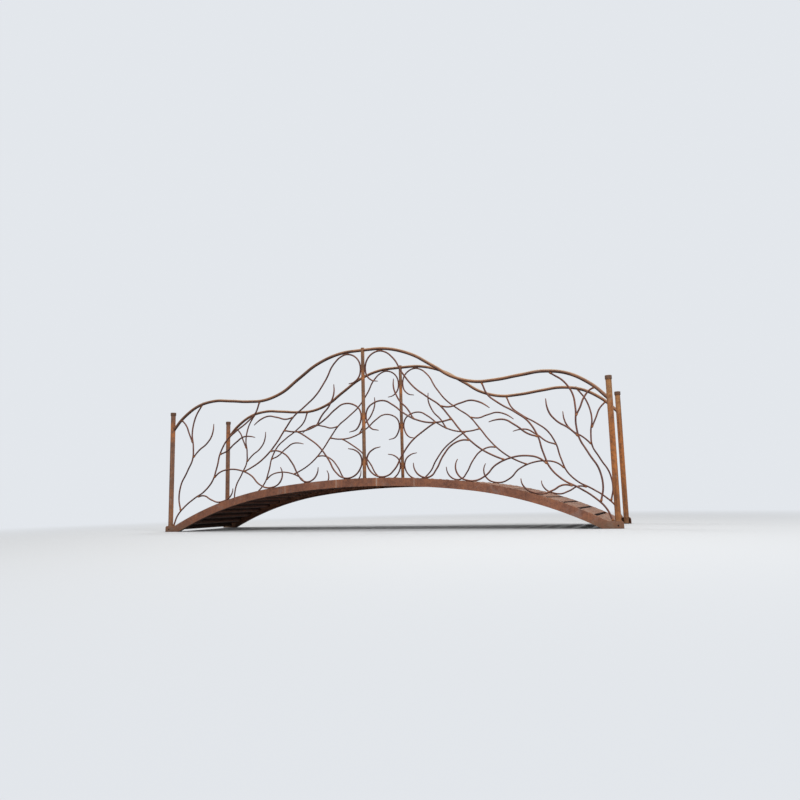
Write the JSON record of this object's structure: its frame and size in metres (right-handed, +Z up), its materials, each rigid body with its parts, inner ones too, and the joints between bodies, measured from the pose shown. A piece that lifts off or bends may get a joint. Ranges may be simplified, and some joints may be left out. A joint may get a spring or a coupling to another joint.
{
  "type": "arched garden bridge",
  "caption": "Arched steel garden footbridge with plank-like treads and two wavy-topped railings filled with bent branch-shaped rods, all rusted.",
  "frame": {"origin": "on the ground under the middle of the bridge, centre of the footprint", "axes": "+X along the bridge to the right, +Y across it from the front railing to the back one, +Z up"},
  "size_m": [4.558, 1.031, 1.723],
  "materials": {
    "beam_rust": "rusted",
    "post_rust": "rusted",
    "cap_rust": "rusted",
    "rail_rust": "rusted",
    "rod_rust": "rusted",
    "tread_rust": "rusted"
  },
  "bodies": {
    "root": {"front_beam": "beam_rust", "front_centre_post": "post_rust", "front_left_post": "post_rust", "front_left_cap": "cap_rust", "front_left_handrail": "rail_rust", "front_left_end_stem": "rod_rust", "front_left_main_stem": "rod_rust", "front_left_long_branch": "rod_rust", "front_left_loop_branch": "rod_rust", "front_right_post": "post_rust", "front_right_cap": "cap_rust", "front_right_handrail": "rail_rust", "front_right_end_stem": "rod_rust", "front_right_main_stem": "rod_rust", "front_right_long_branch": "rod_rust", "front_right_loop_branch": "rod_rust", "back_beam": "beam_rust", "back_centre_post": "post_rust", "back_left_post": "post_rust", "back_left_cap": "cap_rust", "back_left_handrail": "rail_rust", "back_left_end_stem": "rod_rust", "back_left_main_stem": "rod_rust", "back_left_long_branch": "rod_rust", "back_left_loop_branch": "rod_rust", "back_right_post": "post_rust", "back_right_cap": "cap_rust", "back_right_handrail": "rail_rust", "back_right_end_stem": "rod_rust", "back_right_main_stem": "rod_rust", "back_right_long_branch": "rod_rust", "back_right_loop_branch": "rod_rust", "treads_1": "tread_rust", "treads_2": "tread_rust", "treads_3": "tread_rust", "treads_4": "tread_rust", "treads_5": "tread_rust", "treads_6": "tread_rust", "treads_7": "tread_rust", "treads_8": "tread_rust"}
  },
  "joints": []
}
